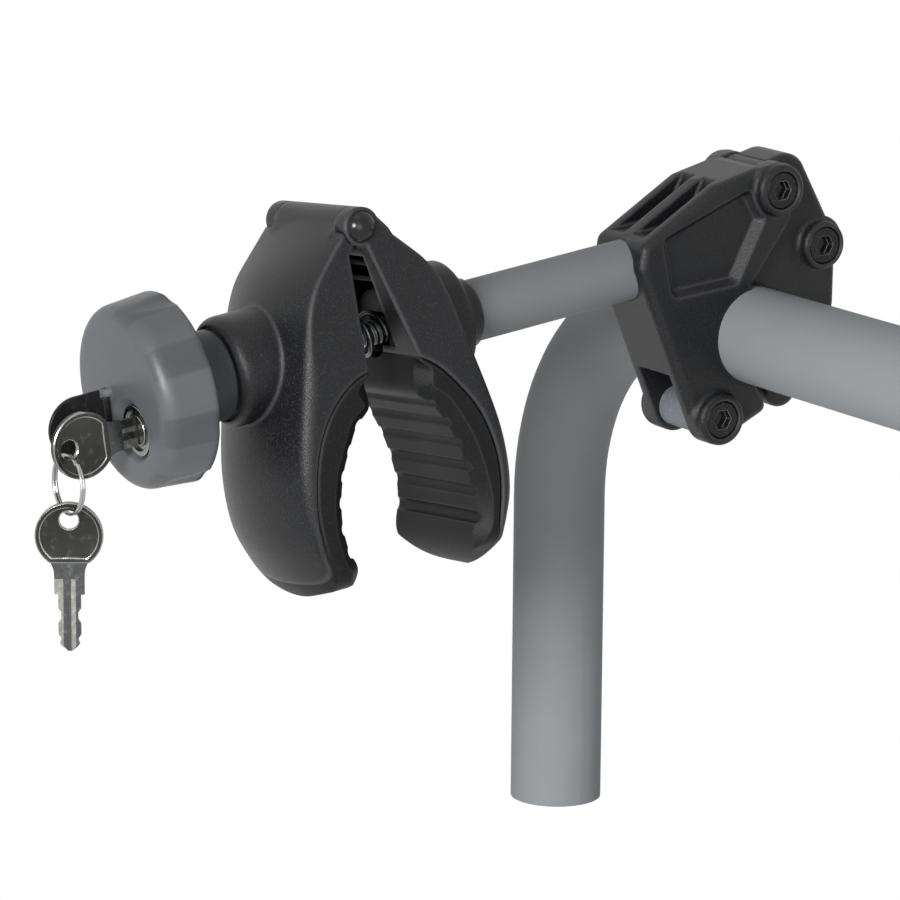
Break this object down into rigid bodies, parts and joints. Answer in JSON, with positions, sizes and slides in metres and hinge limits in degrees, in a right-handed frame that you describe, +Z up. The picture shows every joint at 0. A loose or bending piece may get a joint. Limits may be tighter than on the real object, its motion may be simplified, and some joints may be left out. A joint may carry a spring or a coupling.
{
  "type": "bike carrier arm",
  "caption": "Bike arm of a hitch carrier: bent hoop corner, bolted clamp, round arm, hinged toothed jaws closed by a lockable grey knob, with keys.",
  "frame": {"origin": "centre of the hoop leg's cut lower end", "axes": "+Z up along the leg, +X along the crossbar away from the corner, -Y out along the arm towards the knob"},
  "size_m": [0.256, 0.2966, 0.2462],
  "materials": {
    "hoop_tube": "satin powder coat",
    "arm_tube": "satin powder coat",
    "clamp_body": "fine-grained glass-filled nylon",
    "clamp_strap": "fine-grained glass-filled nylon",
    "outer_jaw": "fine-grained glass-filled nylon",
    "inner_jaw": "fine-grained glass-filled nylon",
    "outer_liner": "satin",
    "inner_liner": "satin",
    "arm_sleeve": "gloss",
    "arm_plug": "turned",
    "hinge_screw": "black finish",
    "spacer_screw": "black finish",
    "strap_screw": "black finish",
    "hinge_nut": "zinc plated",
    "spacer_nut": "zinc plated",
    "strap_nut": "zinc plated",
    "spacer_barrel": "dull grey zinc",
    "hinge_pin": "gloss black",
    "pin_cap": "gloss black",
    "trunnion_nut": "zinc plated",
    "draw_bolt": "zinc plated",
    "jaw_spring": "spring steel",
    "thrust_ring": "satin",
    "knob_collar": "satin",
    "knob_nut": "turned",
    "knob_body": "semi-gloss",
    "lock_housing": "nickel plate",
    "lock_plug": "nickel plate",
    "lock_key": "nickel plate",
    "lock_flap": "satin black",
    "flap_pin": "plain",
    "split_ring": "nickel plate",
    "spare_key": "nickel plate"
  },
  "bodies": {
    "hoop": {"hoop_tube": "hoop_tube"},
    "frame_clamp": {"clamp_body": "clamp_body", "hinge_screw": "hinge_screw", "hinge_nut": "hinge_nut", "spacer_screw": "spacer_screw", "spacer_nut": "spacer_nut", "spacer_barrel": "spacer_barrel", "arm_tube": "arm_tube", "arm_plug": "arm_plug"},
    "strap": {"clamp_strap": "clamp_strap", "strap_screw": "strap_screw", "strap_nut": "strap_nut"},
    "jaw_head": {"inner_jaw": "inner_jaw", "inner_liner": "inner_liner", "arm_sleeve": "arm_sleeve", "hinge_pin": "hinge_pin", "pin_cap": "pin_cap"},
    "jaw_outer": {"outer_jaw": "outer_jaw", "outer_liner": "outer_liner"},
    "bolt": {"trunnion_nut": "trunnion_nut", "draw_bolt": "draw_bolt", "jaw_spring": "jaw_spring"},
    "carriage": {"thrust_ring": "thrust_ring"},
    "knob": {"knob_collar": "knob_collar", "knob_nut": "knob_nut", "knob_body": "knob_body", "lock_housing": "lock_housing", "flap_pin": "flap_pin"},
    "flap": {"lock_flap": "lock_flap"},
    "lock_core": {"lock_plug": "lock_plug"},
    "key": {"lock_key": "lock_key"},
    "key_ring": {"split_ring": "split_ring"},
    "second_key": {"spare_key": "spare_key"}
  },
  "joints": [
    {"name": "arm_pitch", "type": "hinge", "parent": "hoop", "child": "frame_clamp", "pos_m": [0.104, 0, 0.1875], "axis": [1, 0, 0], "range_deg": [-60, 45]},
    {"name": "strap_swing", "type": "hinge", "parent": "frame_clamp", "child": "strap", "pos_m": [0.104, 0.0061, 0.2358], "axis": [1, 0, 0], "range_deg": [0, 25]},
    {"name": "jaw_swivel", "type": "hinge", "parent": "frame_clamp", "child": "jaw_head", "pos_m": [0.104, -0.11448, 0.20196], "axis": [0, 0.9911, 0.1328], "range_deg": [-90, 90]},
    {"name": "jaw_hinge", "type": "hinge", "parent": "jaw_head", "child": "jaw_outer", "pos_m": [0.09955, -0.15534, 0.23589], "axis": [-0.9936, 0.015, -0.1122], "range_deg": [-16.2, 6], "deforming": ["jaw_spring"]},
    {"name": "bolt_tilt", "type": "hinge", "parent": "jaw_head", "child": "bolt", "pos_m": [0.10383, -0.12657, 0.20185], "axis": [-0.9936, 0.015, -0.1122], "range_deg": [-11.04, 4]},
    {"name": "knob_travel", "type": "slide", "parent": "bolt", "child": "carriage", "axis": [0, -0.9911, -0.1328], "range_m": [-0.01095, 0.0041]},
    {"name": "knob_turn", "type": "hinge", "parent": "carriage", "child": "knob", "pos_m": [0.10383, -0.21111, 0.19052], "axis": [0, -0.9911, -0.1328], "range_deg": [-975, 356]},
    {"name": "flap_fold", "type": "hinge", "parent": "knob", "child": "flap", "pos_m": [0.09933, -0.23104, 0.18109], "axis": [0, -0.1328, 0.9911], "range_deg": [-70, 0]},
    {"name": "lock_turn", "type": "hinge", "parent": "knob", "child": "lock_core", "pos_m": [0.11103, -0.2277, 0.17952], "axis": [0, 0.9911, 0.1328], "range_deg": [-90, 0]},
    {"name": "key_pull", "type": "slide", "parent": "lock_core", "child": "key", "axis": [0, -0.9911, -0.1328], "range_m": [0, 0.0175]},
    {"name": "ring_swing", "type": "hinge", "parent": "key", "child": "key_ring", "pos_m": [0.11103, -0.25099, 0.1764], "axis": [1, 0, 0], "range_deg": [-20, 10]},
    {"name": "spare_swing", "type": "hinge", "parent": "key_ring", "child": "second_key", "pos_m": [0.11103, -0.25099, 0.1545], "axis": [0.849, -0.5284, 0], "range_deg": [-15, 15]}
  ],
  "couplings": [
    {"joint": "jaw_hinge", "follows": "bolt_tilt", "ratio": 1.4493},
    {"joint": "knob_turn", "follows": "bolt_tilt", "ratio": 87.646},
    {"joint": "knob_travel", "follows": "bolt_tilt", "m_per_rad": 0.055797}
  ]
}
